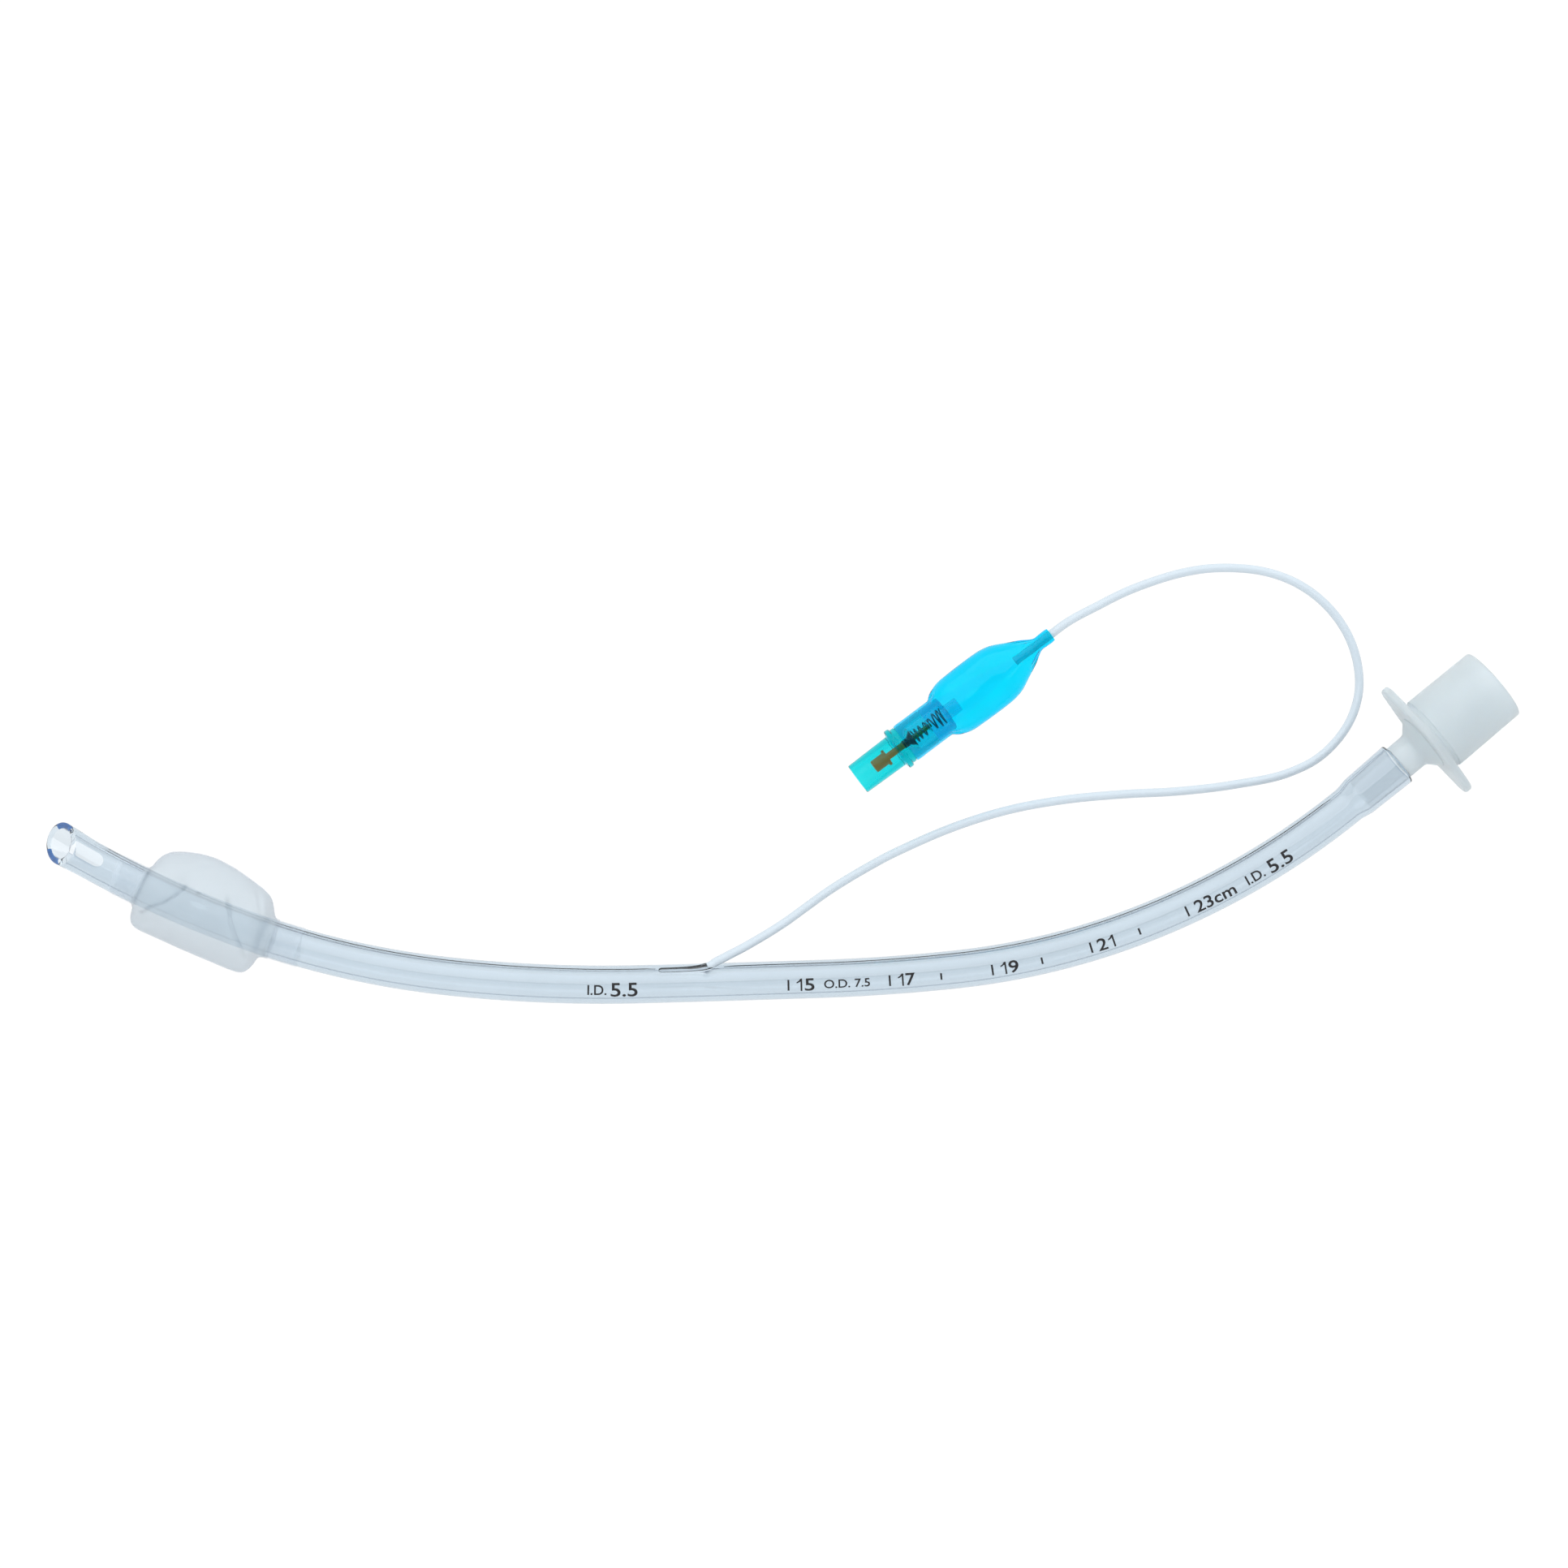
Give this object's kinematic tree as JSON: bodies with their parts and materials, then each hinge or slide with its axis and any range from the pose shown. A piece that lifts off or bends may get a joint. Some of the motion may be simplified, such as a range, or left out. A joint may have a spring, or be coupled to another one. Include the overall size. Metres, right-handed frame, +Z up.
{
  "type": "endotracheal tube",
  "caption": "Curved clear airway tube with a bevelled tip and side eye, an inflatable cuff, a winged cone connector, and a thin line to a pilot balloon with a spring valve.",
  "frame": {"origin": "on the table, under the middle of the object's box, the inflation line left out", "axes": "+X along the connector's axis, out of its open end; +Z up from the table"},
  "size_m": [0.2379, 0.1714, 0.019],
  "materials": {
    "clear_vinyl": "clear, slightly blue, smooth",
    "cuff_film": "thin clear film, lightly creased",
    "milky_plastic": "milky white, translucent, smooth",
    "line_vinyl": "clear, whitish, smooth",
    "balloon_film": "clear sky-blue film",
    "teal_plastic": "clear teal, moulded",
    "blue_plastic": "translucent blue, moulded",
    "brown_plastic": "opaque brown, satin",
    "black_rubber": "matt",
    "spring_steel": "drawn wire"
  },
  "bodies": {
    "root": {"airway_tube": "clear_vinyl", "cuff": "cuff_film", "connector": "milky_plastic", "inflation_line": "line_vinyl", "pilot_balloon": "balloon_film", "valve_housing": "teal_plastic", "valve_retainer": "blue_plastic", "valve_spring": "spring_steel"},
    "plunger": {"valve_stem": "brown_plastic", "valve_seal": "black_rubber"}
  },
  "joints": [
    {"name": "plunger_press", "type": "slide", "parent": "root", "child": "plunger", "axis": [0.9987, -0.0506, 0], "range_m": [0, 0.0018], "stiffness_N_per_m": 500, "deforming": ["valve_spring"]}
  ]
}
